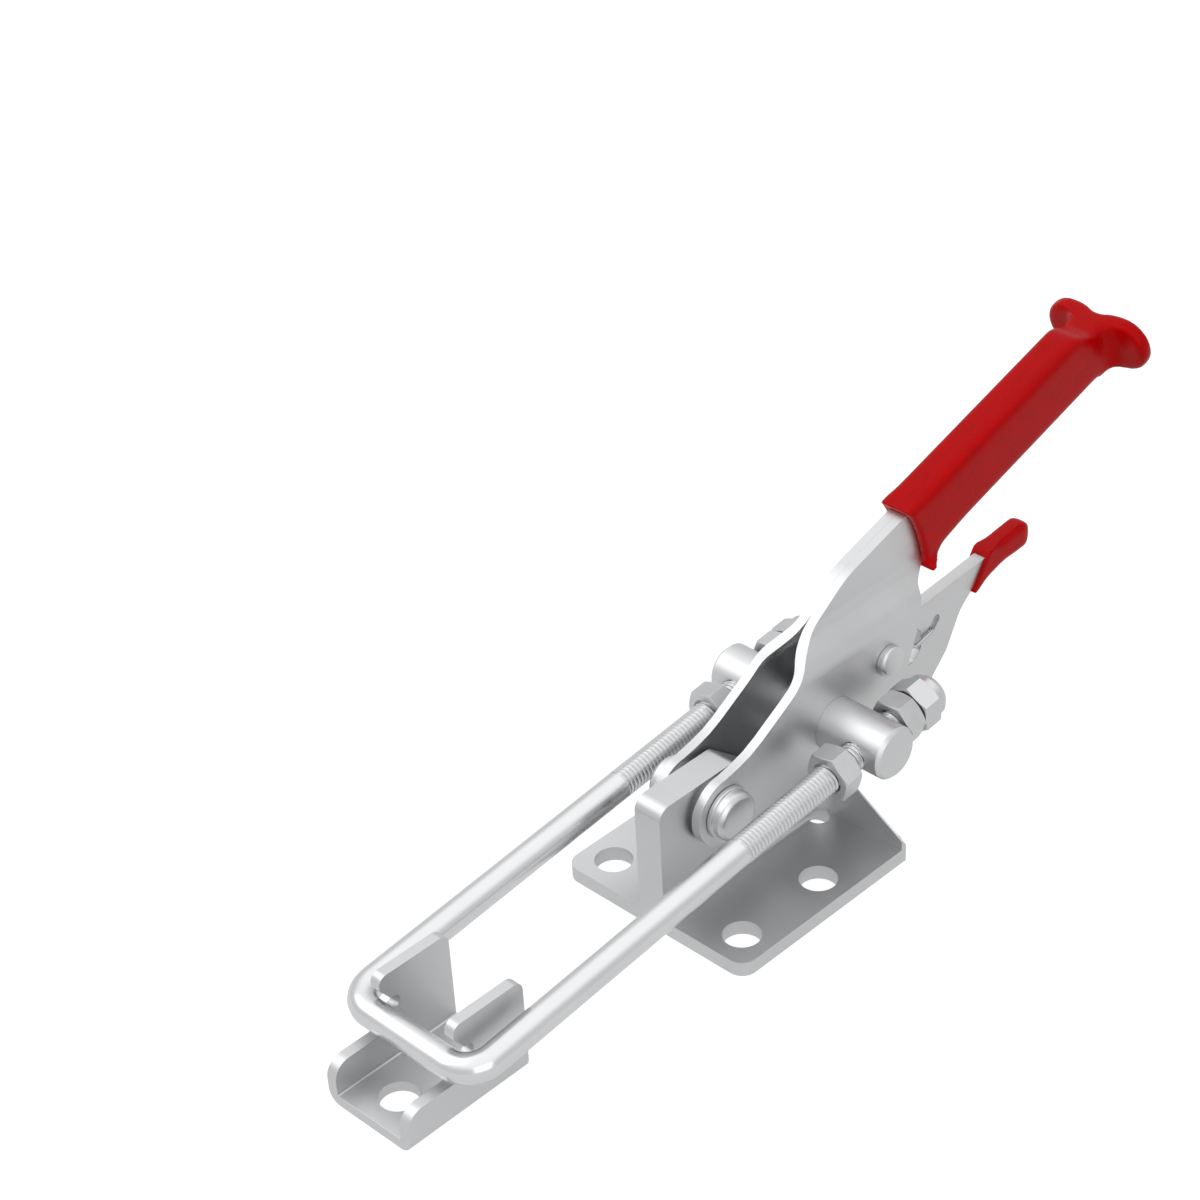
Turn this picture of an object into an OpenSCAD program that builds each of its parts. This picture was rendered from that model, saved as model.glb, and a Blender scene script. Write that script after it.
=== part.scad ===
// Over centre toggle latch: a hooked catch, an adjustable U-bolt and a handle with a sprung lock lever.
// X runs from the catch back to the handle's end, Y across, Z up. The base stands on Z = 0. The modules
// measure X from the base's front edge, and the last lines move it all so that the origin lies in the
// middle of the base's four bolt holes. Everything but the spring is symmetric about Y = 0.

/* [Base] */
// Thickness of each base pressing
base_sheet = 4.4; // [3.5:0.1:5]
// Length of the base flange along X
base_length = 67.2; // [64:0.1:70]
// Half of the base's width
base_half_width = 32.3; // [29:0.5:36]
// Height of the upright web
web_height = 40.3; // [38:0.5:42]
// Diameter of the base's bolt holes
base_hole_diameter = 10.5; // [6:0.5:11]
// Distance of the front bolt holes from the front edge
base_hole_front = 9.5; // [8:0.5:12]
// Distance between the front and rear bolt holes
base_hole_spacing_x = 29.9; // [28:0.1:32]
// Distance between the left and right bolt holes
base_hole_spacing_y = 46.4; // [44:0.1:49]

/* [Handle] */
// Thickness of each handle plate
plate_sheet = 2.8; // [2.4:0.1:3.2]
// Gap between each web and its handle plate
plate_gap = 1.4; // [1:0.1:1.8]
// Pivot of the handle, X
pivot_x = 20.2; // [19:0.1:21]
// Pivot of the handle, Z
pivot_z = 31; // [30:0.1:32]
// Radius of the pivot rivet
pivot_radius = 5; // [4.5:0.1:5.5]
// Radius of the pivot rivet's head
pivot_head_radius = 7.5; // [7:0.1:8]
// Height of the pivot rivet's head
pivot_head_height = 4.6; // [3.5:0.1:5]
// Slope of the grip
grip_slope = 17.2; // [16:0.1:18]
// Height of the arm under the grip
arm_height = 14.8; // [14:0.1:16]
// Thickness of the vinyl above and below the arm
vinyl = 2.3; // [1.6:0.1:2.6]
// Thickness of the vinyl on the arm's sides
side_vinyl = 2.8; // [2:0.1:3]
// Thickness of the vinyl on the front and rear of the cross bar
bar_vinyl = 0.9; // [0.6:0.1:1.2]
// Distance along the arm to the middle of the cross bar
bar_distance = 113.35; // [108:0.05:118]
// Half of the cross bar's length
bar_half_length = 16.9; // [14:0.1:19]

/* [U-bolt and trunnion] */
// Diameter of the U-bolt's bar
rod_diameter = 8; // [7.5:0.1:8]
// Distance between the two legs, centre to centre
rod_spacing = 42.6; // [41:0.2:44]
// Distance from the trunnion's axis to the middle of the U-bolt's front bar
rod_length = 147.4; // [146:0.2:148]
// Slope of the legs
rod_slope = 6.43; // [6.3:0.01:6.5]
// Distance of the trunnion's axis from the base's front edge
trunnion_x = 62.9; // [62.5:0.1:63.3]
// Height of the trunnion's axis
trunnion_z = 35.4; // [35.2:0.1:35.6]
// Radius of the trunnion
trunnion_radius = 7.6; // [7.2:0.1:7.7]
// Length of the trunnion
trunnion_length = 60; // [58:0.5:62]
// Width of the nuts across their flats
nut_flats = 13; // [12:0.1:13.5]
// Thickness of the nuts
nut_height = 6.5; // [6:0.1:6.8]

/* [Catch] */
// Thickness of the catch plate
catch_sheet = 3.2; // [2.8:0.1:3.6]
// Length of the catch in front of the U-bolt's bar
catch_ahead = 15; // [13:0.1:17]
// Length of the catch behind the U-bolt's bar
catch_behind = 24.6; // [23:0.1:26]
// Distance of the catch's bolt hole in front of the U-bolt's bar
catch_hole_ahead = 5.2; // [4.8:0.1:6]
// Half of the catch's width
catch_half_width = 14.7; // [14:0.1:15.5]
// Diameter of the catch's bolt hole
catch_hole_diameter = 10.4; // [6:0.2:11]
// Height of the two hooked ears
ear_height = 29.6; // [28:0.1:31]

/* [Lock lever] */
// Thickness of the lock lever
lever_sheet = 4; // [3:0.1:4.2]
// Rivet of the lock lever, X
lock_x = 84.5; // [84:0.1:85]
// Rivet of the lock lever, Z
lock_z = 44.3; // [44:0.1:44.6]
// Radius of the lock rivet's shank
lock_radius = 3.5; // [3:0.1:3.6]
// Radius of the lock rivet's head
lock_head_radius = 4.6; // [4.4:0.1:5.4]
// Height of the lock rivet's head
lock_head_height = 2.4; // [1.5:0.1:2.6]
// Thickness of the vinyl on the lever's tip
tip_vinyl = 1.1; // [0.8:0.1:1.6]
// Thickness of the spring's wire
wire = 1.2; // [1:0.1:1.3]

/* [Hidden] */
$fn = 64;
arc_step = 12;
zinc = [0.80, 0.81, 0.82];
zinc_dark = [0.70, 0.71, 0.73];
red_vinyl = [0.72, 0.06, 0.07];
nylon = [0.92, 0.92, 0.88];
fit = 0.05;
base_bend = 1.5;
gusset_bend = 6;
web_top_end = 28;
tongue_end = 58;
tongue_height = 4;
stop_gap = 0.3;
notch_floor = 13;
notch_front = 50;
relief_radius = 3.2;
gusset_slope = 0.6;
gusset_outer_height = 7.3;
gusset_back_slope = 1.52;
plate_inner = base_sheet + plate_gap;
plate_outer = plate_inner + plate_sheet;
joggle_start = 55.4;
joggle_run = 7.4;
joggle_bend = 6;
joggle_lean = atan2(plate_inner, joggle_run);
plate_end_radius = 10;
arm_x = 74.5;
arm_z = 73.3;
bar_bend = 4;
turn_distance = bar_distance - plate_sheet / 2 - bar_bend;
straight_end = 3;
bar_start = turn_distance - straight_end;
fall_start = bar_start - 6;
bar_low = -arm_height;
bar_high = -3.7;
drawn_sheet = plate_sheet - 0.1;
grip_half = plate_sheet + side_vinyl;
arm_round = 1.6;
lip = 1.9;
rod_radius = rod_diameter / 2;
leg_bend = 7.5;
leg_y = rod_spacing / 2;
leg_rear = 25;
front_nut_x = -18;
rear_nut_x = 7.9;
lock_nut_x = 14.8;
collar_length = 3.8;
catch_bend = 0.6;
bar_x = trunnion_x - rod_length * cos(rod_slope);
bar_z = trunnion_z - rod_length * sin(rod_slope);
catch_front = bar_x - catch_ahead;
catch_rear = bar_x + catch_behind;
slot_low = [26.7, -7.1];
slot_high = [28.7, -4.9];
wire_knee = [18.9, -8.4];
coil_turns = 1.75;

function unit(v) = v / norm(v);

// Points of one rounded corner: b is the corner, a and c its neighbours, r its radius
function corner_arc(a, b, c, r) =
    let (u = unit(a - b), w = unit(c - b))
    let (half = acos(max(-1, min(1, u * w))) / 2)
    let (reach = r / tan(half), mid = b + unit(u + w) * r / sin(half))
    let (p = b + u * reach, q = b + w * reach)
    let (a0 = atan2(p[1] - mid[1], p[0] - mid[0]), a1 = atan2(q[1] - mid[1], q[0] - mid[0]))
    let (turn = a1 - a0 > 180 ? a1 - a0 - 360 : (a1 - a0 < -180 ? a1 - a0 + 360 : a1 - a0))
    let (n = max(1, ceil(abs(turn) / arc_step)))
    [for (i = [0:n]) mid + r * [cos(a0 + turn * i / n), sin(a0 + turn * i / n)]];

// Closed outline from corners given as [x, y, radius]
function rounded(corners) = [
    for (i = [0:len(corners) - 1])
        let (n = len(corners), b = corners[i], a = corners[(i + n - 1) % n], c = corners[(i + 1) % n])
        each b[2] == 0 ? [[b[0], b[1]]]
                       : corner_arc([a[0], a[1]], [b[0], b[1]], [c[0], c[1]], b[2])];

// A 2D outline drawn in X and Z, made solid from y0 to y1
module side_cut(y0, y1) {
    translate([0, y1, 0])
        rotate([90, 0, 0])
            linear_extrude(y1 - y0) children();
}

// A 2D outline drawn in Y and Z, made solid from x0 to x1
module front_cut(x0, x1) {
    translate([x0, 0, 0])
        rotate([90, 0, 90])
            linear_extrude(x1 - x0) children();
}

module both_mirror(left) {
    if (left) children();
    else mirror([0, 1, 0]) children();
}

// A cylinder along Y between two values of y
module cross_pin(x, z, r, y0, y1) {
    translate([x, y1, z])
        rotate([90, 0, 0]) cylinder(r = r, h = y1 - y0);
}

// Web and gusset in plan: straight along X, then turned out along Y
module web_plan() {
    turn_x = base_length - base_sheet - gusset_bend;
    outer = gusset_bend + base_sheet;
    square([turn_x, base_sheet]);
    difference() {
        intersection() {
            translate([turn_x, outer]) circle(r = outer);
            translate([turn_x, 0]) square([outer, outer]);
        }
        translate([turn_x, outer]) circle(r = gusset_bend);
    }
    translate([base_length - base_sheet, outer]) square([base_sheet, base_half_width - outer]);
}

// Side view of the web: high at the handle's pivot, low under the trunnion, open for the lever's toe
module web_side() {
    tongue_top = trunnion_z - trunnion_radius - stop_gap;
    polygon(rounded([[0, 0, 0], [0, web_height, 3.8], [web_top_end, web_height, 3],
                     [44, tongue_top, 8], [tongue_end, tongue_top, 1.2],
                     [tongue_end, tongue_top - tongue_height, 1.2],
                     [notch_front, tongue_top - tongue_height, 2], [notch_front, notch_floor, 2],
                     [base_length + 1, notch_floor, 0], [base_length + 1, 0, 0]]));
}

// Rear view of the gusset: its upper edge falls outwards to the flange
module gusset_rear() {
    wall_start = 7;
    edge_high = gusset_outer_height + gusset_slope * (base_half_width - wall_start);
    polygon([[wall_start, 0], [base_half_width, 0], [base_half_width, gusset_outer_height],
             [wall_start, edge_high]]);
}

module base_half(left) {
    inner_web = base_sheet + base_bend;
    hole_y = base_hole_spacing_y / 2;
    flange = rounded([[0, 0, 0], [0, base_half_width, 4.5], [base_length - 2.5, base_half_width, 0.6],
                      [base_length, base_half_width - 4.3, 1], [base_length, 0, 0]]);
    color(zinc) both_mirror(left) difference() {
        union() {
            // Flange with its bend up into the web
            intersection() {
                front_cut(0, base_length) difference() {
                    square([base_half_width, inner_web]);
                    translate([inner_web, base_sheet])
                        square([base_half_width, inner_web]);
                    translate([inner_web, inner_web]) circle(r = base_bend);
                    difference() {
                        square([inner_web, inner_web]);
                        translate([inner_web, inner_web]) circle(r = inner_web);
                        translate([0, inner_web]) square([base_sheet, 1]);
                    }
                }
                linear_extrude(inner_web + 1) polygon(flange);
            }
            // Upright web
            intersection() {
                translate([0, 0, inner_web]) linear_extrude(web_height) web_plan();
                side_cut(0, inner_web + 1) web_side();
            }
            // Gusset: the web's rear end turned out, folded up from the flange and thinned to its upper edge
            difference() {
                intersection() {
                    linear_extrude(web_height) web_plan();
                    front_cut(base_length - base_sheet - gusset_bend, base_length + 1) gusset_rear();
                    translate([0, 0, -1]) linear_extrude(web_height + 2) polygon(flange);
                }
                translate([base_length - base_sheet + 0.5, base_half_width, gusset_outer_height])
                    rotate([0, atan2(norm([gusset_back_slope, gusset_slope]), 1),
                            atan2(gusset_slope, gusset_back_slope)])
                        translate([-60, -60, 0]) cube(120);
            }
            // The turned corner's own low part, under the opening for the lever's toe
            intersection() {
                translate([0, 0, base_sheet]) linear_extrude(notch_floor - base_sheet) web_plan();
                side_cut(0, 8) web_side();
            }
        }
        for (x = [base_hole_front, base_hole_front + base_hole_spacing_x])
            translate([x, hole_y, -1]) cylinder(d = base_hole_diameter, h = base_sheet + 2);
        // Relief hole where the three bends meet
        translate([base_length - base_sheet - 3.4, base_sheet + 1.4, -1])
            cylinder(r = relief_radius, h = base_sheet + 2.5);
        cross_pin(pivot_x, pivot_z, pivot_radius, -1, base_sheet + 1);
    }
}

// A rivet with the same head at each end: inner is the distance from the middle to the head, and head lists
// the radius and the height of each of its corners, from its underside outwards
module rivet(x, z, shank, inner, head) {
    count = len(head);
    outer = inner + head[count - 1][1];
    upper = [for (corner = head) [corner[0], inner + corner[1]]];
    lower = [for (i = [count - 1:-1:0]) [head[i][0], -inner - head[i][1]]];
    translate([x, 0, z]) rotate([90, 0, 0]) rotate_extrude()
        polygon(concat([[0, -outer]], lower, [[shank, -inner], [shank, inner]], upper, [[0, outer]]));
}

module pivot_rivet() {
    boss = pivot_head_radius - 0.6;
    color(zinc) rivet(pivot_x, pivot_z, pivot_radius, plate_outer + 0.1,
                      [[pivot_head_radius, 0], [pivot_head_radius, 1.5], [boss, 1.5],
                       [boss, pivot_head_height - 1.1], [boss - 1.1, pivot_head_height]]);
}

module pivot_washer(left) {
    color(zinc_dark) both_mirror(left) difference() {
        cross_pin(pivot_x, pivot_z, 8, base_sheet, plate_inner - 0.1);
        cross_pin(pivot_x, pivot_z, pivot_radius, 0, plate_inner + 1);
    }
}

module lock_rivet() {
    color(zinc) rivet(lock_x, lock_z, lock_radius, plate_outer,
                      [[lock_head_radius, 0], [lock_head_radius, lock_head_height - 0.6],
                       [lock_head_radius - 0.8, lock_head_height]]);
}

// Frame of the arm: first axis along the arm, third axis square to it, origin at the top edge
module arm_frame() {
    translate([arm_x, 0, arm_z])
        rotate([0, -grip_slope, 0]) children();
}

// Side view of a handle plate's lower part, from the pivot to the arm
module plate_side() {
    reach = turn_distance * cos(grip_slope) + 20;
    drop = arm_height / cos(grip_slope);
    rise = tan(grip_slope);
    bottom = pivot_z - plate_end_radius;
    polygon(rounded([
        [pivot_x, pivot_z + plate_end_radius, 0], [30, pivot_z + plate_end_radius + 1.9, 30], [48, 53.2, 22],
        [54, 59.3, 10], [arm_x, arm_z, 22], [arm_x + reach, arm_z + rise * reach, 0],
        [arm_x + reach, arm_z + rise * reach - drop, 0],
        [116, arm_z + rise * (116 - arm_x) - drop, 14], [106.3, 64.4, 8], [99.9, 59.8, 4],
        [96.9, 47.6, 24], [91.4, 32.6, 9], [80, 25.6, 16], [pivot_x + 2, bottom, 0],
        [pivot_x, bottom, 0]]));
    translate([pivot_x, pivot_z]) circle(r = plate_end_radius);
}

// Front view of a handle plate: apart at the fork, closed up to the middle plane in the grip
module plate_front() {
    shift = plate_sheet * tan(joggle_lean / 2);
    top = joggle_start + joggle_run;
    outside = joggle_bend + plate_sheet;
    polygon(rounded([
        [plate_inner, 15, 0], [plate_outer, 15, 0], [plate_outer, joggle_start + shift, outside],
        [plate_sheet, top + shift, joggle_bend], [plate_sheet, 130, 0], [0, 130, 0], [0, top, outside],
        [plate_inner, joggle_start, joggle_bend]]));
}

// Plan of the arm's end: each plate is turned out sideways, and the two make the cross bar.
// The sheet is drawn a little thinner from the bend on.
module bar_plan() {
    centre_y = bar_bend + drawn_sheet;
    translate([bar_start, 0]) square([straight_end, drawn_sheet]);
    intersection() {
        difference() {
            translate([turn_distance, centre_y]) circle(r = centre_y);
            translate([turn_distance, centre_y]) circle(r = bar_bend);
        }
        translate([turn_distance, 0]) square([20, centre_y]);
    }
    translate([turn_distance + bar_bend, centre_y])
        square([drawn_sheet, bar_half_length - vinyl - centre_y]);
}

// View of the cross bar along the arm, with rounded ends. The three values are the vinyl that grows it.
module bar_end_view(sides, below, above) {
    half = bar_half_length - vinyl + sides;
    low = bar_low - below;
    high = bar_high + above;
    r = 0.49 * (high - low);
    polygon(rounded([[-half, low, r], [half, low, r], [half, high, r], [-half, high, r]]));
}

// Side view of the space for the arm in front of the cross bar, where its upper edge falls to the bar
module arm_space(above) {
    fall = (above - bar_high) / (bar_start - fall_start);
    polygon([[-100, -100], [bar_start, -100], [bar_start, bar_high + above],
             [fall_start - 10, bar_high + above + fall * (bar_start - fall_start + 10)],
             [fall_start - 10, 40], [-100, 40]]);
}

// One handle plate without its holes
module plate_body() {
    intersection() {
        side_cut(0, plate_outer + 1) plate_side();
        front_cut(0, 220) plate_front();
        arm_frame() side_cut(-1, 20) arm_space(0);
    }
    arm_frame() intersection() {
        translate([0, 0, -50]) linear_extrude(100) bar_plan();
        front_cut(0, 200) bar_end_view(0, 0, 0);
    }
}

module handle_plate(left) {
    color(zinc) both_mirror(left) difference() {
        plate_body();
        cross_pin(pivot_x, pivot_z, pivot_radius + fit, 0, plate_outer + 1);
        cross_pin(trunnion_x, trunnion_z, trunnion_radius + fit, 0, plate_outer + 1);
        cross_pin(lock_x, lock_z, lock_radius, 0, plate_outer + 1);
    }
}

// Side view of the grip's flare, where it widens over the plates at its mouth
module flare_side() {
    rise = tan(grip_slope);
    low = arm_z - (arm_height + vinyl) / cos(grip_slope);
    polygon(rounded([[95, 80, 0], [98, 61.6, 0], [106.4, 61.6, 0.8], [110.6, 66, 8],
                     [118, low + rise * (118 - arm_x), 14], [130, low + rise * (130 - arm_x) + 1.8, 0],
                     [130, low + rise * (130 - arm_x) + 6, 0]]));
}

// Front view of the flare: the vinyl's outside over the plates where they spread
module flare_front() {
    shift = grip_half * tan(joggle_lean / 2);
    wide = plate_outer + lip;
    narrow = grip_half - 0.1;
    low = joggle_start + shift;
    high = low + joggle_run;
    outside = joggle_bend + grip_half;
    inside = joggle_bend - lip;
    polygon(rounded([
        [-wide, 30, 0], [wide, 30, 0], [wide, low, outside], [narrow, high, inside], [narrow, 110, 0],
        [-narrow, 110, 0], [-narrow, high, inside], [-wide, low, outside]]));
}

// Plan of the cross bar's vinyl, with a saddle between its two lobes
module grip_plan() {
    rear = bar_distance + plate_sheet / 2 + bar_vinyl;
    front = bar_distance - plate_sheet / 2 - bar_vinyl;
    half = bar_half_length + 1;
    arm = grip_half - 0.1;
    polygon(rounded([[bar_start, -arm, 0], [front, -arm, 3.5], [front, -half, 0], [rear, -half, 0],
                     [rear, -arm, 7], [rear - 2.4, 0, 6], [rear, arm, 7], [rear, half, 0],
                     [front, half, 0], [front, arm, 3.5], [bar_start, arm, 0]]));
}

// Side view of the space for the vinyl on the arm, which falls to the cross bar at its end
module grip_arm_side() {
    fall = -bar_high / (bar_start - fall_start);
    polygon([[10, -40], [bar_start, -40], [bar_start, bar_high + vinyl],
             [fall_start - 3, vinyl + 3 * fall], [10, vinyl + 3 * fall]]);
}

// Section of the vinyl on the arm
module grip_arm_front() {
    low = -arm_height - vinyl;
    polygon(rounded([[-grip_half, low, arm_round], [grip_half, low, arm_round],
                     [grip_half, vinyl, arm_round], [-grip_half, vinyl, arm_round]]));
}

// Side view of the dip's extent: the edge of its mouth is a slack curve
module mouth_side() {
    polygon(rounded([[92, 90, 0], [96.2, 83.6, 0], [98.6, 80.6, 8], [101.1, 76.1, 20], [103.3, 70.3, 30],
                     [104.6, 65.2, 12], [104.7, 57, 0], [220, 57, 0], [220, 140, 0], [92, 140, 0]]));
}

module handle_grip() {
    color(red_vinyl) difference() {
        intersection() {
            union() {
                arm_frame() intersection() {
                    side_cut(-20, 20) grip_arm_side();
                    front_cut(5, bar_start + 5) grip_arm_front();
                }
                arm_frame() intersection() {
                    translate([0, 0, -50]) linear_extrude(100) grip_plan();
                    front_cut(bar_start, 200) bar_end_view(vinyl, vinyl + 0.8, vinyl);
                }
                intersection() {
                    side_cut(-20, 20) flare_side();
                    front_cut(90, 132) flare_front();
                }
            }
            side_cut(-30, 30) mouth_side();
        }
        for (left = [true, false]) both_mirror(left) plate_body();
    }
}

// Frame of the U-bolt: first axis along the legs, origin on the trunnion's axis
module rod_frame() {
    translate([trunnion_x, 0, trunnion_z])
        rotate([0, -rod_slope, 0]) children();
}

module along_rod(x, y) {
    rod_frame() translate([x, y, 0]) rotate([0, 90, 0]) children();
}

module trunnion() {
    half = trunnion_length / 2;
    edge = 1;
    color(zinc) difference() {
        translate([trunnion_x, 0, trunnion_z]) rotate([90, 0, 0]) rotate_extrude()
            polygon([[0, -half], [trunnion_radius - edge, -half], [trunnion_radius, edge - half],
                     [trunnion_radius, half - edge], [trunnion_radius - edge, half], [0, half]]);
        for (y = [-leg_y, leg_y])
            along_rod(-20, y) cylinder(r = rod_radius + 2 * fit, h = 40);
    }
}

module u_bolt() {
    color(zinc) {
        for (s = [-1, 1]) {
            along_rod(leg_bend - rod_length, s * leg_y)
                cylinder(r = rod_radius, h = rod_length - leg_bend + leg_rear);
            rod_frame() translate([leg_bend - rod_length, s * (leg_y - leg_bend), 0])
                rotate([0, 0, s > 0 ? 90 : 180]) rotate_extrude(angle = 90)
                    translate([leg_bend, 0]) circle(r = rod_radius);
        }
        rod_frame() translate([-rod_length, leg_y - leg_bend, 0])
            rotate([90, 0, 0]) cylinder(r = rod_radius, h = rod_spacing - 2 * leg_bend);
    }
}

// A hexagon nut with its corners chamfered at the faces named by front and rear
module hex_body(height, turn, front, rear) {
    corner = nut_flats / 2 / cos(30);
    cut = corner - nut_flats / 2 + 0.15;
    slope = 0.55;
    intersection() {
        rotate([0, 0, turn]) cylinder(r = corner, h = height, $fn = 6);
        rotate_extrude()
            polygon([[0, 0], [corner - front * cut, 0], [corner + 0.05, front * cut * slope],
                     [corner + 0.05, height - rear * cut * slope], [corner - rear * cut, height],
                     [0, height]]);
    }
}

// A threaded hole with a countersink at each end
module nut_hole(height) {
    bore = rod_radius + fit;
    sink = 0.7;
    rotate_extrude()
        polygon([[0, -1], [bore + sink + 1, -1], [bore, sink], [bore, height - sink],
                 [bore + sink + 1, height + 1], [0, height + 1]]);
}

module nut(x, y, turn) {
    color(zinc) along_rod(x, y) difference() {
        hex_body(nut_height, turn, 1, 1);
        nut_hole(nut_height);
    }
}

// Lock nut: a hexagon with a round collar that holds a nylon ring
module lock_nut(y, turn) {
    color(zinc) along_rod(lock_nut_x, y) difference() {
        union() {
            hex_body(nut_height, turn, 1, 1);
            rotate_extrude() polygon([[0, 1], [nut_flats / 2 - 0.3, 1],
                                      [nut_flats / 2 - 0.3, nut_height + collar_length - 1.8],
                                      [nut_flats / 2 - 1.6, nut_height + collar_length],
                                      [0, nut_height + collar_length]]);
        }
        nut_hole(nut_height + collar_length);
        translate([0, 0, nut_height + 0.4]) cylinder(r = rod_radius + 1.3, h = collar_length - 1);
    }
}

module lock_ring(y) {
    color(nylon) along_rod(lock_nut_x + nut_height + 0.4, y) difference() {
        cylinder(r = rod_radius + 1.3, h = collar_length - 1);
        translate([0, 0, -1]) cylinder(r = rod_radius + fit, h = collar_length + 1);
    }
}

// Side view of the lock lever: toe under the base's tongue, eye at the rivet, tail out to the tip
module lever_side() {
    translate([lock_x, lock_z]) polygon(rounded([
        [-25.3, -28.5, 1.2], [15.5, -31.8, 8], [26.5, -24.9, 6], [33.7, -17.7, 6], [39.3, -7.3, 8],
        [47, -0.8, 9], [55.5, 1.6, 20], [65.5, 2.1, 1.7], [67, 6, 1.7], [50.5, 4.9, 12], [19.5, 2.3, 10],
        [7.5, 8.7, 9], [-6.5, 7.7, 7], [-9.5, -10.3, 8], [-17.5, -23.3, 5], [-25.3, -24.1, 1.2]]));
}

// The opening in the middle of the lever
module lever_window() {
    translate([lock_x, lock_z]) polygon(rounded([
        [6.5, -14.1, 2], [18.9, -14.1, 2], [22.3, -11.3, 2], [22.3, -5.7, 2], [19.5, -2.9, 2],
        [9.5, -2.9, 2]]));
}

module lock_lever() {
    half = lever_sheet / 2;
    color(zinc) difference() {
        side_cut(-half, half) lever_side();
        cross_pin(lock_x, lock_z, lock_radius + fit, -half - 1, half + 1);
        side_cut(-half - 1, half + 1) translate([lock_x, lock_z]) slot(slot_low, slot_high, wire / 2 + 0.8);
        side_cut(-half - 1, half + 1) lever_window();
    }
}

// A slot with round ends between two centres
module slot(a, b, r) {
    along = unit(b - a);
    side = [-along[1], along[0]] * r;
    translate(a) circle(r = r);
    translate(b) circle(r = r);
    polygon([a + side, a - side, b - side, b + side]);
}

// Side view of the dipped tip
module lever_grip_side() {
    translate([lock_x, lock_z]) polygon(rounded([
        [43.4, -4.8, 0.6], [50.9, 6.6, 1], [69.6, 8.7, 3.6], [70.4, 0.4, 3.6], [57.5, 0, 14],
        [49.2, -2.4, 8]]));
}

module lock_lever_grip() {
    half = lever_sheet / 2 + tip_vinyl;
    end = 70.1;
    round_end = 0.97 * half;
    color(red_vinyl) difference() {
        intersection() {
            side_cut(-half - 1, half + 1) lever_grip_side();
            // In plan its end is round
            translate([lock_x, 0, lock_z - 20]) linear_extrude(40)
                polygon(rounded([[30, -half, 0], [end, -half, round_end], [end, half, round_end], [30, half, 0]]));
        }
        side_cut(-lever_sheet / 2, lever_sheet / 2) lever_side();
    }
}

// Direction of a path at one of its points
function tangent(path, i) = unit(path[min(i + 1, len(path) - 1)] - path[max(i - 1, 0)]);

// Normals carried along a path without twisting
function carry(path, i, n) =
    i == len(path) ? [] :
    let (t = tangent(path, i), m = unit(n - t * (n * t)))
    concat([m], carry(path, i + 1, m));

// A round wire along a path of points
module wire_along(path, r, sides) {
    count = len(path);
    normals = carry(path, 0, [0, 1, 0]);
    rings = [for (i = [0:count - 1])
        let (u = normals[i], w = cross(tangent(path, i), u))
        for (k = [0:sides - 1]) path[i] + r * (cos(360 * k / sides) * u + sin(360 * k / sides) * w)];
    ends = [[for (k = [0:sides - 1]) k], [for (k = [sides - 1:-1:0]) (count - 1) * sides + k]];
    walls = [for (i = [0:count - 2], k = [0:sides - 1])
        [i * sides + k, (i + 1) * sides + k, (i + 1) * sides + (k + 1) % sides, i * sides + (k + 1) % sides]];
    polyhedron(points = rings, faces = concat(ends, walls), convexity = 6);
}

// Wire spring: turns round the rivet beside the lever, and a leg that hooks into the lever's slot
module lock_spring() {
    coil = lock_radius + 0.5 + wire / 2;
    near = -lever_sheet / 2 - 0.2 - wire / 2;
    pitch = wire + 0.02;
    first = -60 - 360 * coil_turns;
    turns = [for (a = [first:18:-60]) [coil * cos(a), near + (a + 60) / 360 * pitch, coil * sin(a)]];
    leg = [[wire_knee[0] - 1.2, near, wire_knee[1] + 1.1], [wire_knee[0], near, wire_knee[1]],
           [wire_knee[0] + 1.6, near, wire_knee[1] + 0.2], [slot_low[0] - 0.9, near, slot_low[1] - 0.1],
           [slot_low[0] - 0.2, near + 0.4, slot_low[1]], [slot_low[0], near + 1.2, slot_low[1]],
           [slot_low[0], 1.2, slot_low[1]]];
    color(zinc_dark) translate([lock_x, 0, lock_z]) wire_along(concat(turns, leg), wire / 2, 8);
}

// Side view of the catch: low walls at the front, hooked ears at the rear
module catch_side() {
    nose_x = catch_rear - 23;
    nose_z = bar_z + 7;
    nose = ear_height - nose_z;
    seat_x = bar_x + rod_radius + 0.3;
    wall_height = 12.5;
    difference() {
        polygon(rounded([
            [catch_front, 0, 0], [catch_rear, 0, 0], [catch_rear, ear_height, 3],
            [nose_x, ear_height, 0.7 * nose], [nose_x, nose_z, 0.32 * nose], [nose_x + 2.2, bar_z + 4, 1.5],
            [seat_x + 0.9, bar_z + 2.2, 0], [seat_x, bar_z + 0.6, 0], [seat_x, wall_height, 2.5],
            [catch_front, wall_height, 5]]));
        // Relief in the corner between the hook's nose and its seat
        translate([seat_x + 1.3, bar_z + 0.9]) circle(r = 1.9);
    }
}

module catch_plate() {
    inner = catch_half_width - catch_sheet;
    bend = catch_sheet + catch_bend;
    color(zinc) difference() {
        intersection() {
            side_cut(-catch_half_width, catch_half_width) catch_side();
            front_cut(catch_front, catch_rear) difference() {
                union() {
                    for (s = [-1, 1]) translate([s * (catch_half_width - bend), bend]) circle(r = bend);
                    translate([-catch_half_width, bend]) square([2 * catch_half_width, ear_height]);
                    translate([bend - catch_half_width, 0]) square([2 * (catch_half_width - bend), bend]);
                }
                for (s = [-1, 1]) translate([s * (inner - catch_bend), bend]) circle(r = catch_bend);
                translate([-inner, bend]) square([2 * inner, ear_height]);
                translate([catch_bend - inner, catch_sheet]) square([2 * (inner - catch_bend), ear_height]);
            }
        }
        translate([bar_x - catch_hole_ahead, 0, -1]) cylinder(d = catch_hole_diameter, h = catch_sheet + 2);
    }
}

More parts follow.
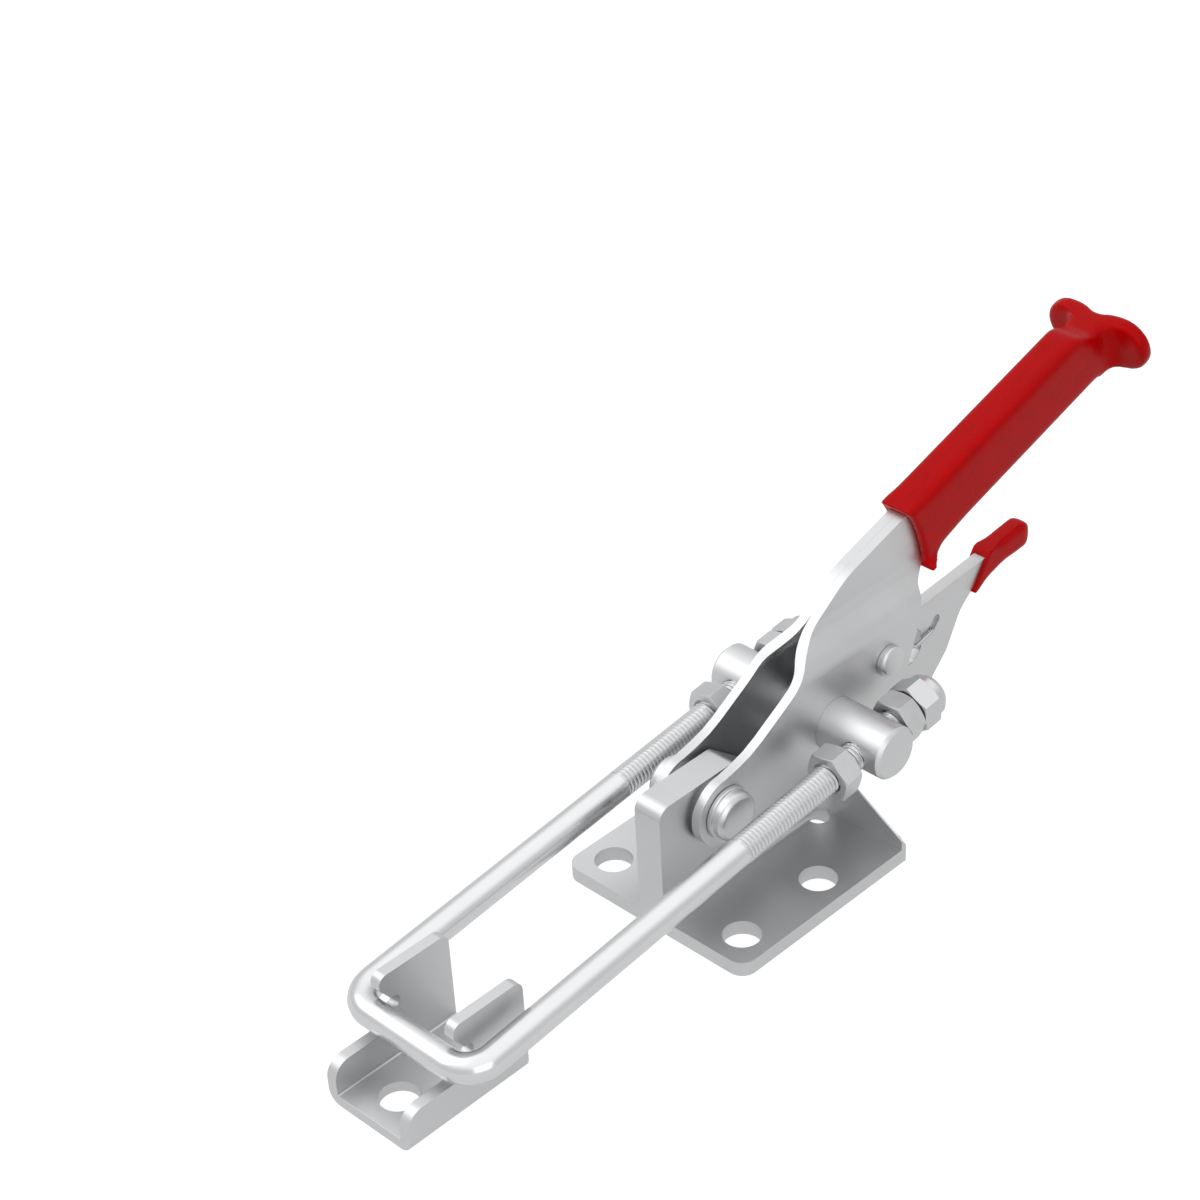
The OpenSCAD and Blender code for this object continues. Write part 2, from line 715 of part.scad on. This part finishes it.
// Moves a piece so that X = 0 lies in the middle of the base's bolt holes
module placed() {
    translate([-base_hole_front - base_hole_spacing_x / 2, 0, 0]) children();
}

placed() base_half(true);  // base_left
placed() base_half(false);  // base_right
placed() pivot_rivet();
placed() pivot_washer(true);  // pivot_washer_left
placed() pivot_washer(false);  // pivot_washer_right
placed() handle_plate(true);  // handle_plate_left
placed() handle_plate(false);  // handle_plate_right
placed() handle_grip();
placed() trunnion();
placed() u_bolt();
placed() nut(front_nut_x, leg_y, 13);  // front_nut_left
placed() nut(front_nut_x, -leg_y, 18);  // front_nut_right
placed() nut(rear_nut_x, leg_y, 20);  // rear_nut_left
placed() nut(rear_nut_x, -leg_y, 25);  // rear_nut_right
placed() lock_nut(leg_y, 10);  // lock_nut_left
placed() lock_nut(-leg_y, 0);  // lock_nut_right
placed() lock_ring(leg_y);  // lock_ring_left
placed() lock_ring(-leg_y);  // lock_ring_right
placed() lock_lever();
placed() lock_lever_grip();
placed() lock_rivet();
placed() lock_spring();
placed() catch_plate();
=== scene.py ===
# %% [markdown]
# # An over centre toggle latch in bright zinc and red vinyl
# The latch pulls two parts together: a U-bolt hooks over a catch, and a handle with a trunnion draws the
# U-bolt tight past the centre line of its pivot. The CAD model holds every plate, bolt and hole at its
# real size, so this lesson gives each piece its edges, threads and finish, and then lights the whole.

# %% Load the CAD model
import math

import bpy
from mathutils import Matrix, Vector


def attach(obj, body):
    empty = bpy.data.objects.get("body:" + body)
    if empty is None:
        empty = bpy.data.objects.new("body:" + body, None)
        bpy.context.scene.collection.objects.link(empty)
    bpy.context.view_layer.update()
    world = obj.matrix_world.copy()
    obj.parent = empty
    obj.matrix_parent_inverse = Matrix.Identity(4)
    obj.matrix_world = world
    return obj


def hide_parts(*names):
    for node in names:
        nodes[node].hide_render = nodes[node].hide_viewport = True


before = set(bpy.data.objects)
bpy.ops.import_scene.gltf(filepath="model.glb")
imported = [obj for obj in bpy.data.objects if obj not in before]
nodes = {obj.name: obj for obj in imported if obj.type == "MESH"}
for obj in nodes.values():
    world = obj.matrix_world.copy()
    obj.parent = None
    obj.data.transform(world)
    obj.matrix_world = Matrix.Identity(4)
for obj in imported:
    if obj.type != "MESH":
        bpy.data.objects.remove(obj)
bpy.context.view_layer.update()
MM = 0.001
# The latch is measured along X from the base's front edge, and the frame's origin lies this far behind it
MIDDLE_X = 24.45

# %% [markdown]
# ## The camera
# A camera is matched to a photograph by its perspective: the legs of the U-bolt, the base's edges and its
# four holes give three square directions, and from them the camera's place, its tilt and its focal
# length. The object lies off the middle of the picture, so the lens is shifted and not turned.

# %% Camera at the photograph's angle
PICTURE = 1200
AZIMUTH = -46.506
ELEVATION = 36.541
ROLL = -1.593
DISTANCE = 721.67 * MM
AIM = Vector((-7.461, -15.711, 64.826)) * MM
FOCAL_PIXELS = 2900.0
CENTRE_PIXEL = (735.1, 722.0)
SENSOR_WIDTH = 36


def camera_axes(azimuth, elevation, roll):
    a, e, r = (math.radians(v) for v in (azimuth, elevation, roll))
    back = Vector((math.sin(a) * math.cos(e), -math.cos(a) * math.cos(e), math.sin(e)))
    right = Vector((math.cos(a), math.sin(a), 0))
    up = back.cross(right)
    return right * math.cos(r) + up * math.sin(r), up * math.cos(r) - right * math.sin(r), back


right, up, back = camera_axes(AZIMUTH, ELEVATION, ROLL)
camera_data = bpy.data.cameras.new("camera")
camera_data.sensor_width = SENSOR_WIDTH
camera_data.lens = FOCAL_PIXELS * SENSOR_WIDTH / PICTURE
camera_data.shift_x = (PICTURE / 2 - CENTRE_PIXEL[0]) / PICTURE
camera_data.shift_y = (CENTRE_PIXEL[1] - PICTURE / 2) / PICTURE
camera_data.clip_start = 0.01
camera_data.clip_end = 20
camera = bpy.data.objects.new("camera", camera_data)
bpy.context.scene.collection.objects.link(camera)
turned = Matrix((right, up, back)).transposed().to_4x4()
camera.matrix_world = Matrix.Translation(AIM + back * DISTANCE) @ turned
bpy.context.scene.camera = camera
bpy.context.scene.view_settings.view_transform = "Standard"
print("lens in mm", round(camera_data.lens, 1),
      "place in mm", [round(v / MM) for v in camera.matrix_world.translation])

# %% [markdown]
# ## Small helpers
# Colours are written as the hex values that a paint program shows, and a renderer wants linear light, so
# one function turns them. Another one adds a shader node with its settings and links in one line.

# %% Helpers for colours and shader nodes


def linear(hex_colour):
    parts = [int(hex_colour[i:i + 2], 16) / 255 for i in (1, 3, 5)]
    return tuple(v / 12.92 if v <= 0.04045 else ((v + 0.055) / 1.055) ** 2.4 for v in parts) + (1.0,)


def add(tree, kind, links=None, settings=None, **inputs):
    """Adds a node: settings are its own properties, inputs its socket values, links its wired sockets."""
    node = tree.nodes.new(kind)
    for name, value in (settings or {}).items():
        setattr(node, name, value)
    for name, value in inputs.items():
        node.inputs[name.replace("_", " ")].default_value = value
    for name, socket in (links or {}).items():
        tree.links.new(socket, node.inputs[name])
    return node


def new_material(name):
    material = bpy.data.materials.new(name)
    material.use_nodes = True
    material.node_tree.nodes.clear()
    return material, material.node_tree


# %% [markdown]
# ## Bright zinc plate
# Zinc is plated on pressed steel in a thin coat of 8 to 12 micrometres. It mirrors softly: on rolled sheet
# the steel under it is fine and matt, and on drawn bar and turned pieces it is smoother. The coat is a
# little uneven, so its roughness varies in faint clouds some 10 mm across, and a fine grit breaks up the
# mirror. A metal has no diffuse colour of its own, so its base colour is the colour of its mirror.

# %% Zinc materials
# How deep a bump of full strength is
GRAIN_DEPTH = 0.05 * MM
WAVE_DEPTH = 0.3 * MM
# Bands that a wave texture draws over one unit at scale 1, about
BANDS_PER_UNIT = 20


def zinc(name, colour, rough, cloud_mm=12.0, grit_mm=0.35, grit=0.02, marks_mm=None, marks=0.0):
    material, tree = new_material(name)
    place = add(tree, "ShaderNodeTexCoord")
    clouds = add(tree, "ShaderNodeTexNoise", {"Vector": place.outputs["Object"]},
                 Scale=1 / (cloud_mm * MM), Detail=3.0, Roughness=0.5)
    spread = add(tree, "ShaderNodeMapRange", {"Value": clouds.outputs["Fac"]},
                 From_Min=0.3, From_Max=0.7, To_Min=rough - 0.03, To_Max=rough + 0.05)
    tones = [tuple(v * k for v in linear(colour)[:3]) + (1.0,) for k in (0.94, 1.04)]
    tone = add(tree, "ShaderNodeMix", {"Factor": clouds.outputs["Fac"]}, {"data_type": "RGBA"})
    colours = [socket for socket in tone.inputs if socket.type == "RGBA"]
    colours[0].default_value, colours[1].default_value = tones
    colour_out = [socket for socket in tone.outputs if socket.type == "RGBA"][0]
    fine = add(tree, "ShaderNodeTexNoise", {"Vector": place.outputs["Object"]},
               Scale=1 / (grit_mm * MM), Detail=2.0)
    bump = add(tree, "ShaderNodeBump", {"Height": fine.outputs["Fac"]}, Strength=grit, Distance=GRAIN_DEPTH)
    if marks_mm:
        # Turning marks run round the piece, so their bands lie along its own Y axis
        bands = add(tree, "ShaderNodeTexWave", {"Vector": place.outputs["Object"]},
                    {"bands_direction": "Y"}, Scale=1 / (marks_mm * MM) / BANDS_PER_UNIT,
                    Distortion=0.4, Detail=2.0)
        bump = add(tree, "ShaderNodeBump", {"Height": bands.outputs["Fac"], "Normal": bump.outputs["Normal"]},
                   Strength=marks, Distance=GRAIN_DEPTH)
    surface = add(tree, "ShaderNodeBsdfPrincipled",
                  {"Base Color": colour_out, "Roughness": spread.outputs["Result"],
                   "Normal": bump.outputs["Normal"]}, Metallic=1.0)
    add(tree, "ShaderNodeOutputMaterial", {"Surface": surface.outputs["BSDF"]})
    return material


zinc_sheet = zinc("bright_zinc_on_pressed_sheet", "#CFD0D1", 0.42, grit=0.03)
zinc_bar = zinc("bright_zinc_on_drawn_bar", "#D9DADB", 0.24, cloud_mm=20.0, grit=0.01)
zinc_turned = zinc("bright_zinc_on_turned_bar", "#D2D3D4", 0.4, grit=0.01, marks_mm=0.25, marks=0.06)
zinc_nut = zinc("bright_zinc_on_forged_nuts", "#CFD0D1", 0.36, cloud_mm=6.0)
zinc_rivet = zinc("bright_zinc_on_rivet_heads", "#D1D2D3", 0.36, cloud_mm=8.0)
zinc_washer = zinc("bright_zinc_on_spacer_washers", "#BFC0C2", 0.36, cloud_mm=8.0)
spring_steel = zinc("drawn_spring_steel", "#C2C3C5", 0.22, cloud_mm=5.0, grit=0.01)
print("metals", [m.name for m in bpy.data.materials if "zinc" in m.name or "steel" in m.name])

# %% [markdown]
# ## Dipped red vinyl
# The grips are dipped hot into liquid vinyl, which runs smooth and sets with a soft gloss. It is an opaque
# plastic with an IOR near 1.53. Its skin has a faint waviness a few millimetres across and a very fine
# grain, and its red is a little deeper where it ran thick. Nylon is the same sort of surface in off-white.

# %% Vinyl and nylon


def plastic(name, light, deep, rough, ior, shine, wave_mm, wave, grain_mm=0.3, grain=0.03):
    material, tree = new_material(name)
    place = add(tree, "ShaderNodeTexCoord")
    ripple = add(tree, "ShaderNodeTexNoise", {"Vector": place.outputs["Object"]},
                 Scale=1 / (wave_mm * MM), Detail=2.0)
    tone = add(tree, "ShaderNodeValToRGB", {"Fac": ripple.outputs["Fac"]})
    low, high = tone.color_ramp.elements
    low.position, high.position = 0.35, 0.65
    low.color, high.color = linear(deep), linear(light)
    skin = add(tree, "ShaderNodeMapRange", {"Value": ripple.outputs["Fac"]}, From_Min=0.3, From_Max=0.7,
               To_Min=rough - 0.03, To_Max=rough + 0.04)
    fine = add(tree, "ShaderNodeTexNoise", {"Vector": place.outputs["Object"]}, Scale=1 / (grain_mm * MM))
    bump = add(tree, "ShaderNodeBump", {"Height": fine.outputs["Fac"]}, Strength=grain, Distance=GRAIN_DEPTH)
    waves = add(tree, "ShaderNodeBump", {"Height": ripple.outputs["Fac"], "Normal": bump.outputs["Normal"]},
                Strength=wave, Distance=WAVE_DEPTH)
    surface = add(tree, "ShaderNodeBsdfPrincipled",
                  {"Base Color": tone.outputs["Color"], "Roughness": skin.outputs["Result"],
                   "Normal": waves.outputs["Normal"]}, IOR=ior, Specular_IOR_Level=shine)
    add(tree, "ShaderNodeOutputMaterial", {"Surface": surface.outputs["BSDF"]})
    return material


red_vinyl = plastic("dipped_red_vinyl", "#D40408", "#CA0306", rough=0.28, ior=1.53, shine=0.08,
                    wave_mm=6.0, wave=0.08)
white_nylon = plastic("moulded_white_nylon", "#E6E5DC", "#DEDDD2", rough=0.45, ior=1.53, shine=0.5,
                      wave_mm=3.0, wave=0.05)
print("plastics", red_vinyl.name, white_nylon.name)

# %% [markdown]
# ## Plated pieces with broken edges
# Pressed, turned and sheared steel never has a perfectly sharp edge: the plating bath rounds it, and that
# thin round is what catches the light. The CAD solids have sharp edges, so each piece is copied, its
# loose triangles are merged and made flat faces again, and a narrow bevel is cut on every edge.

# %% A copy of a CAD piece with rounded edges
SAME_POINT = 0.002 * MM
FLAT_ANGLE = math.radians(0.4)
SMOOTH_ANGLE = math.radians(32)
BEVEL_ANGLE = math.radians(35)
BEVEL_SEGMENTS = 2


def only(*pieces):
    bpy.ops.object.select_all(action="DESELECT")
    for piece in pieces:
        piece.select_set(True)
    bpy.context.view_layer.objects.active = pieces[-1]


def copy_of(name, ending):
    piece = bpy.data.objects.new(name + ending, nodes[name].data.copy())
    bpy.context.scene.collection.objects.link(piece)
    only(piece)
    bpy.ops.object.mode_set(mode="EDIT")
    bpy.ops.mesh.select_all(action="SELECT")
    bpy.ops.mesh.remove_doubles(threshold=SAME_POINT)
    bpy.ops.object.mode_set(mode="OBJECT")
    return piece


def hand_over(piece, material, name, body):
    piece.data.materials.clear()
    piece.data.materials.append(material)
    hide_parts(name)
    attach(piece, body)
    return piece


def broken_edges(name, width, material, body):
    piece = copy_of(name, "_plated")
    bpy.ops.object.mode_set(mode="EDIT")
    bpy.ops.mesh.dissolve_limited(angle_limit=FLAT_ANGLE)
    bpy.ops.object.mode_set(mode="OBJECT")
    bevel = piece.modifiers.new("edges", "BEVEL")
    bevel.width = width * MM
    bevel.segments = BEVEL_SEGMENTS
    bevel.limit_method = "ANGLE"
    bevel.angle_limit = BEVEL_ANGLE
    bpy.ops.object.modifier_apply(modifier=bevel.name)
    bpy.ops.object.shade_smooth_by_angle(angle=SMOOTH_ANGLE)
    # The big faces keep their own direction, and only the bevels bend the light
    flats = piece.modifiers.new("flats", "WEIGHTED_NORMAL")
    flats.weight = 90
    flats.keep_sharp = True
    bpy.ops.object.modifier_apply(modifier=flats.name)
    return hand_over(piece, material, name, body)


SIDES = ("left", "right")
plated = [broken_edges("base_" + side, 0.4, zinc_sheet, "base") for side in SIDES]
plated += [broken_edges("handle_plate_" + side, 0.3, zinc_sheet, "handle") for side in SIDES]
plated += [broken_edges("catch_plate", 0.35, zinc_sheet, "base"),
           broken_edges("lock_lever", 0.35, zinc_sheet, "lever"),
           broken_edges("trunnion", 0.25, zinc_turned, "trunnion_set"),
           broken_edges("pivot_rivet", 0.35, zinc_rivet, "base"),
           broken_edges("lock_rivet", 0.25, zinc_rivet, "handle")]
for side in SIDES:
    plated.append(broken_edges("pivot_washer_" + side, 0.2, zinc_washer, "base"))
    plated.append(broken_edges("lock_ring_" + side, 0.2, white_nylon, "trunnion_set"))
    for place in ("front_nut_", "rear_nut_", "lock_nut_"):
        plated.append(broken_edges(place + side, 0.22, zinc_nut, "trunnion_set"))
print("plated pieces", len(plated), "faces", sum(len(p.data.polygons) for p in plated))

# %% [markdown]
# ## The lock spring
# The spring is drawn wire, round and smooth, and its CAD tube has only eight sides. One subdivision makes
# the wire round, and its cut ends stay closed.

# %% Round spring wire
spring = copy_of("lock_spring", "_wire")
rounder = spring.modifiers.new("round", "SUBSURF")
rounder.levels = rounder.render_levels = 1
bpy.ops.object.modifier_apply(modifier=rounder.name)
bpy.ops.object.shade_smooth_by_angle(angle=math.radians(50))
hand_over(spring, spring_steel, "lock_spring", "lever")
print("spring faces", len(spring.data.polygons))

# %% [markdown]
# ## The U-bolt
# The U-bolt is one bent bar, and each leg has a rolled M8 thread with a pitch of 1.25 mm. The bar could be a
# curve with a bevel, but a circle that is extruded and spun round the two corners shows how bending makes
# it. It is drawn flat, with its legs along X, and tilted to its slope at the end.

# %% Bar of the U-bolt
LEG_SLOPE = math.radians(6.43)
TRUNNION = Vector((62.9 - MIDDLE_X, 0, 35.4)) * MM
LEG_Y, BEND, BAR_LENGTH = 21.3 * MM, 7.5 * MM, 147.4 * MM
BAR_RADIUS = 3.97 * MM
THREAD_FRONT, THREAD_REAR = -52 * MM, 25 * MM
BEND_STEPS = 12
corner_x = BEND - BAR_LENGTH

bpy.ops.object.select_all(action="DESELECT")
bpy.ops.mesh.primitive_circle_add(vertices=32, radius=BAR_RADIUS, location=(THREAD_FRONT, -LEG_Y, 0),
                                  rotation=(0, math.pi / 2, 0))
u_bolt = bpy.context.object
u_bolt.name = "u_bolt_threaded"
bpy.ops.object.transform_apply(location=True, rotation=True, scale=True)
bpy.ops.object.mode_set(mode="EDIT")
bpy.ops.mesh.select_all(action="SELECT")
bpy.ops.mesh.extrude_region_move(TRANSFORM_OT_translate={"value": (corner_x - THREAD_FRONT, 0, 0)})
bpy.ops.mesh.spin(steps=BEND_STEPS, angle=math.pi / 2, center=(corner_x, BEND - LEG_Y, 0), axis=(0, 0, 1))
bpy.ops.mesh.extrude_region_move(TRANSFORM_OT_translate={"value": (0, 2 * (LEG_Y - BEND), 0)})
bpy.ops.mesh.spin(steps=BEND_STEPS, angle=math.pi / 2, center=(corner_x, LEG_Y - BEND, 0), axis=(0, 0, 1))
bpy.ops.mesh.extrude_region_move(TRANSFORM_OT_translate={"value": (THREAD_FRONT - corner_x, 0, 0)})
bpy.ops.mesh.select_all(action="SELECT")
bpy.ops.mesh.remove_doubles(threshold=0.01 * MM)
bpy.ops.mesh.select_all(action="DESELECT")
bpy.ops.mesh.select_non_manifold()
bpy.ops.mesh.edge_face_add()
bpy.ops.mesh.select_all(action="SELECT")
bpy.ops.mesh.normals_make_consistent(inside=False)
bpy.ops.object.mode_set(mode="OBJECT")
print("bar", [round(v / MM, 1) for v in u_bolt.dimensions], "faces", len(u_bolt.data.polygons))

# %% [markdown]
# ## Rolled threads
# A rolled thread is one groove wound round the bar: its crests are rounded and its flanks stand at 60
# degrees. One pitch of its outline is drawn point by point, and a Screw modifier winds it up. The two ends
# are then cut square, and the free end is chamfered so that a nut starts easily.

# %% Threaded legs
PITCH = 1.25 * MM
CREST, ROOT = 4.03 * MM, 3.42 * MM
# One pitch of the outline: each step goes outwards in thread depths and along the bar in pitches
OUTLINE = ((0, 0.12), (0.8, 0.26), (0.2, 0.1), (0, 0.16), (-0.2, 0.1), (-0.8, 0.26))
STEPS_PER_TURN = 28
CHAMFER_LENGTH = 1.1 * MM
CHAMFER_SLOPE = 0.8


def threaded_leg(y):
    # A small plane that is merged at its centre leaves the one point that the outline starts from
    bpy.ops.object.select_all(action="DESELECT")
    bpy.ops.mesh.primitive_plane_add(size=1 * MM, location=(0, 0, 0))
    leg = bpy.context.object
    leg.name = "threaded_leg"
    bpy.ops.object.mode_set(mode="EDIT")
    bpy.ops.mesh.select_all(action="SELECT")
    bpy.ops.mesh.merge(type="CENTER")
    bpy.ops.transform.translate(value=(ROOT, 0, THREAD_FRONT - 2 * PITCH))
    for outwards, along in OUTLINE:
        bpy.ops.mesh.extrude_region_move(
            TRANSFORM_OT_translate={"value": (outwards * (CREST - ROOT), 0, along * PITCH)})
    bpy.ops.object.mode_set(mode="OBJECT")
    screw = leg.modifiers.new("thread", "SCREW")
    screw.axis = "Z"
    screw.angle = 2 * math.pi
    screw.screw_offset = PITCH
    screw.iterations = math.ceil((THREAD_REAR - THREAD_FRONT) / PITCH) + 4
    screw.steps = screw.render_steps = STEPS_PER_TURN
    screw.use_merge_vertices = True
    screw.merge_threshold = 0.005 * MM
    bpy.ops.object.modifier_apply(modifier=screw.name)
    bpy.ops.object.mode_set(mode="EDIT")
    bpy.ops.mesh.select_all(action="SELECT")
    bpy.ops.mesh.remove_doubles(threshold=0.01 * MM)
    for cut, side in ((THREAD_FRONT, -1), (THREAD_REAR, 1)):
        bpy.ops.mesh.select_all(action="SELECT")
        bpy.ops.mesh.bisect(plane_co=(0, 0, cut), plane_no=(0, 0, side), use_fill=True, clear_outer=True)
    bpy.ops.mesh.select_all(action="SELECT")
    bpy.ops.mesh.normals_make_consistent(inside=False)
    bpy.ops.object.mode_set(mode="OBJECT")
    for vertex in leg.data.vertices:
        limit = CREST - max(0.0, vertex.co.z - THREAD_REAR + CHAMFER_LENGTH) * CHAMFER_SLOPE
        radius = math.hypot(vertex.co.x, vertex.co.y)
        if radius > limit:
            vertex.co.x *= limit / radius
            vertex.co.y *= limit / radius
    leg.data.transform(Matrix.Translation((0, y, 0)) @ Matrix.Rotation(math.pi / 2, 4, "Y"))
    return leg


legs = [threaded_leg(y) for y in (-LEG_Y, LEG_Y)]
print("thread faces", [len(leg.data.polygons) for leg in legs])
only(*legs, u_bolt)
bpy.ops.object.join()
bpy.ops.object.shade_smooth_by_angle(angle=math.radians(40))
u_bolt.data.transform(Matrix.Translation(TRUNNION) @ Matrix.Rotation(-LEG_SLOPE, 4, "Y"))
hand_over(u_bolt, zinc_bar, "u_bolt", "loop")
print("u_bolt box", [round(v / MM, 1) for v in u_bolt.dimensions])

# %% [markdown]
# ## Dipped grips
# Vinyl that is dipped hot has no sharp edge anywhere: it runs round every corner and ends in a soft lip. The
# CAD grip is joined with the ends of the plates inside it, remeshed in small cubes so that all of it is
# one skin, and then smoothed, which rounds the edges as the liquid does.

# %% A soft skin from a CAD grip and what is inside it
# Share of the fade behind the mouth that is all lip
LIP_SHARE = 0.3


def dipped(name, inside, body, mouth, away, cube_mm, rounds, lip, fade_mm):
    skin = copy_of(name, "_dipped")
    cores = []
    for core_name in inside:
        core = copy_of(core_name, "_core")
        bpy.ops.object.mode_set(mode="EDIT")
        bpy.ops.mesh.select_all(action="SELECT")
        bpy.ops.mesh.bisect(plane_co=mouth, plane_no=away, use_fill=True, clear_inner=True)
        bpy.ops.object.mode_set(mode="OBJECT")
        cores.append(core)
    only(*cores, skin)
    bpy.ops.object.join()
    remesh = skin.modifiers.new("one_skin", "REMESH")
    remesh.mode = "VOXEL"
    remesh.voxel_size = cube_mm * MM
    bpy.ops.object.modifier_apply(modifier=remesh.name)
    # The lip at the mouth is thin, so it is smoothed less than the rest
    softness = skin.vertex_groups.new(name="softness")
    outwards = Vector(away).normalized()
    for vertex in skin.data.vertices:
        inwards = (vertex.co - mouth).dot(outwards) / (fade_mm * MM)
        softness.add([vertex.index], lip + (1 - lip) * min(1.0, max(0.0, inwards - LIP_SHARE)), "REPLACE")
    smooth = skin.modifiers.new("soft_edges", "SMOOTH")
    smooth.factor = 0.9
    smooth.iterations = rounds
    smooth.vertex_group = softness.name
    bpy.ops.object.modifier_apply(modifier=smooth.name)
    bpy.ops.object.shade_smooth()
    return hand_over(skin, red_vinyl, name, body)


def measured(x, z):
    return Vector((x - MIDDLE_X, 0, z)) * MM


grip = dipped("handle_grip", ["handle_plate_left", "handle_plate_right"], "handle",
              mouth=measured(98.6, 82.3), away=(22.8, 0, 10.5),
              cube_mm=0.45, rounds=50, lip=0.14, fade_mm=5.0)
tip = dipped("lock_lever_grip", ["lock_lever"], "lever",
             mouth=measured(129.6, 40.3), away=(10.4, 0, -6.4),
             cube_mm=0.25, rounds=110, lip=0.05, fade_mm=3.0)
print("grip faces", len(grip.data.polygons), "tip faces", len(tip.data.polygons))

# %% [markdown]
# ## Floor, backdrop and light
# The latch lies on a plain pale floor, which fades into white. Bright plating shows what is around it, so
# the light comes from large soft panels, and the mirror sees the floor and the sky each with a tone of
# its own: the sky is dim near the horizon and bright overhead, which gives the flat faces their greys.

# %% Studio
WHITE = (1, 1, 1, 1)
FLOOR_TONE = 0.4
FLOOR_TO_CAMERA, FLOOR_TO_MIRROR = 0.86, 0.58
SKY_LIGHT = 0.52
PANEL_AIM = Vector((0, 0, 30)) * MM
SKY_TO_MIRROR = {"From_Min": 0.35, "From_Max": 0.9, "To_Min": 0.25, "To_Max": 0.8}

bpy.ops.object.select_all(action="DESELECT")
bpy.ops.mesh.primitive_plane_add(size=6, location=(0, 0, -0.0002))
floor = bpy.context.object
floor.name = "floor"
floor_material, tree = new_material("pale_floor")
path = add(tree, "ShaderNodeLightPath")
to_camera = add(tree, "ShaderNodeMath", {0: path.outputs["Is Camera Ray"]}, {"operation": "MULTIPLY"})
to_camera.inputs[1].default_value = FLOOR_TO_CAMERA
to_mirror = add(tree, "ShaderNodeMath", {0: path.outputs["Is Glossy Ray"], 2: to_camera.outputs[0]},
                {"operation": "MULTIPLY_ADD"})
to_mirror.inputs[1].default_value = FLOOR_TO_MIRROR
paint = add(tree, "ShaderNodeBsdfDiffuse", Color=(FLOOR_TONE, FLOOR_TONE, FLOOR_TONE, 1))
glow = add(tree, "ShaderNodeEmission", {"Strength": to_mirror.outputs[0]}, Color=WHITE)
both = add(tree, "ShaderNodeAddShader", {0: paint.outputs[0], 1: glow.outputs[0]})
add(tree, "ShaderNodeOutputMaterial", {"Surface": both.outputs[0]})
floor.data.materials.append(floor_material)

world = bpy.data.worlds.new("white_studio")
world.use_nodes = True
world.node_tree.nodes.clear()
tree = world.node_tree
path = add(tree, "ShaderNodeLightPath")
place = add(tree, "ShaderNodeTexCoord")
split = add(tree, "ShaderNodeSeparateXYZ", {"Vector": place.outputs["Generated"]})
height = add(tree, "ShaderNodeMapRange", {"Value": split.outputs["Z"]},
             {"interpolation_type": "SMOOTHSTEP"}, **SKY_TO_MIRROR)
gloss = add(tree, "ShaderNodeMath", {0: path.outputs["Is Glossy Ray"], 1: height.outputs["Result"]},
            {"operation": "MULTIPLY_ADD"})
gloss.inputs[2].default_value = SKY_LIGHT
level = add(tree, "ShaderNodeMath", {0: path.outputs["Is Camera Ray"], 1: gloss.outputs[0]},
            {"operation": "MAXIMUM"})
sky = add(tree, "ShaderNodeBackground", {"Strength": level.outputs[0]}, Color=WHITE)
add(tree, "ShaderNodeOutputWorld", {"Surface": sky.outputs[0]})
bpy.context.scene.world = world


def panel(name, place, side, power):
    data = bpy.data.lights.new(name, "AREA")
    data.shape = "RECTANGLE"
    data.size = data.size_y = side
    data.energy = power
    lamp = bpy.data.objects.new(name, data)
    bpy.context.scene.collection.objects.link(lamp)
    lamp.location = place
    lamp.rotation_euler = (PANEL_AIM - Vector(place)).to_track_quat("-Z", "Y").to_euler()
    return lamp


panel("key_panel", (-0.5, 0.6, 0.9), side=1.0, power=3.0)
panel("side_panel", (-0.5, -1.1, 0.5), side=0.9, power=2.5)
